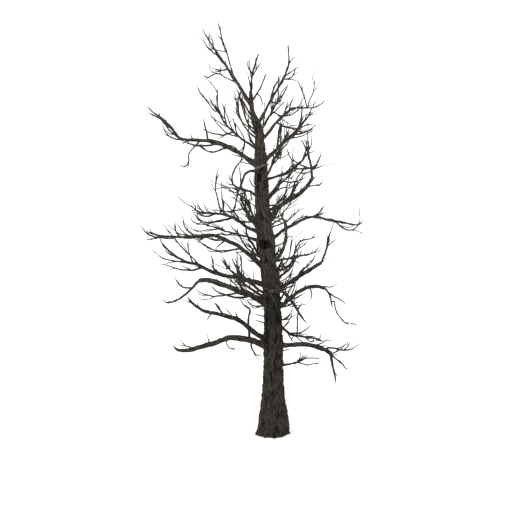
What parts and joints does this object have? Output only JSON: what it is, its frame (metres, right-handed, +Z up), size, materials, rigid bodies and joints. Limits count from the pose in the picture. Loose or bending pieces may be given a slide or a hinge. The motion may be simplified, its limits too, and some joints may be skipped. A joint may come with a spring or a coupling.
{
  "type": "dead tree",
  "caption": "Tall dead conifer with a leaning, tapering trunk, a flared foot and bare, crooked limbs that hook up into fine dry twigs.",
  "frame": {"origin": "middle of the flat cut under the trunk, at ground level", "axes": "+Z up along the trunk, +X to the right of the side first seen, +Y to its far side"},
  "size_m": [8.5757, 5.8827, 15.7759],
  "materials": {
    "bark": "rough furrowed grey-brown bark",
    "dead_wood": "dry weathered bark on bare limbs and twigs"
  },
  "bodies": {
    "root": {"trunk": "bark", "back_1": "dead_wood", "back_2": "dead_wood", "back_3": "dead_wood", "back_4": "dead_wood", "back_5": "dead_wood", "left_1": "dead_wood", "left_10": "dead_wood", "left_10_fork": "dead_wood", "left_11": "dead_wood", "left_12": "dead_wood", "left_13": "dead_wood", "left_13_drop": "dead_wood", "left_14": "dead_wood", "left_14_fork": "dead_wood", "left_15": "dead_wood", "left_1_riser": "dead_wood", "left_2": "dead_wood", "left_3": "dead_wood", "left_3_outer": "dead_wood", "left_4": "dead_wood", "left_5": "dead_wood", "left_6": "dead_wood", "left_6_fork": "dead_wood", "left_7": "dead_wood", "left_8": "dead_wood", "left_9": "dead_wood", "right_1": "dead_wood", "right_10": "dead_wood", "right_11": "dead_wood", "right_11_fork": "dead_wood", "right_11_outer": "dead_wood", "right_11_riser": "dead_wood", "right_12": "dead_wood", "right_13": "dead_wood", "right_14": "dead_wood", "right_15": "dead_wood", "right_16": "dead_wood", "right_16_fork": "dead_wood", "right_16_outer": "dead_wood", "right_17": "dead_wood", "right_18": "dead_wood", "right_2": "dead_wood", "right_2_drop": "dead_wood", "right_2_fork": "dead_wood", "right_2_outer": "dead_wood", "right_3": "dead_wood", "right_4": "dead_wood", "right_4_fork": "dead_wood", "right_4_outer": "dead_wood", "right_5": "dead_wood", "right_5_outer": "dead_wood", "right_6": "dead_wood", "right_7": "dead_wood", "right_8": "dead_wood", "right_9": "dead_wood", "top_left": "dead_wood", "top_left_fork": "dead_wood", "top_left_spur": "dead_wood", "top_right": "dead_wood"}
  },
  "joints": []
}
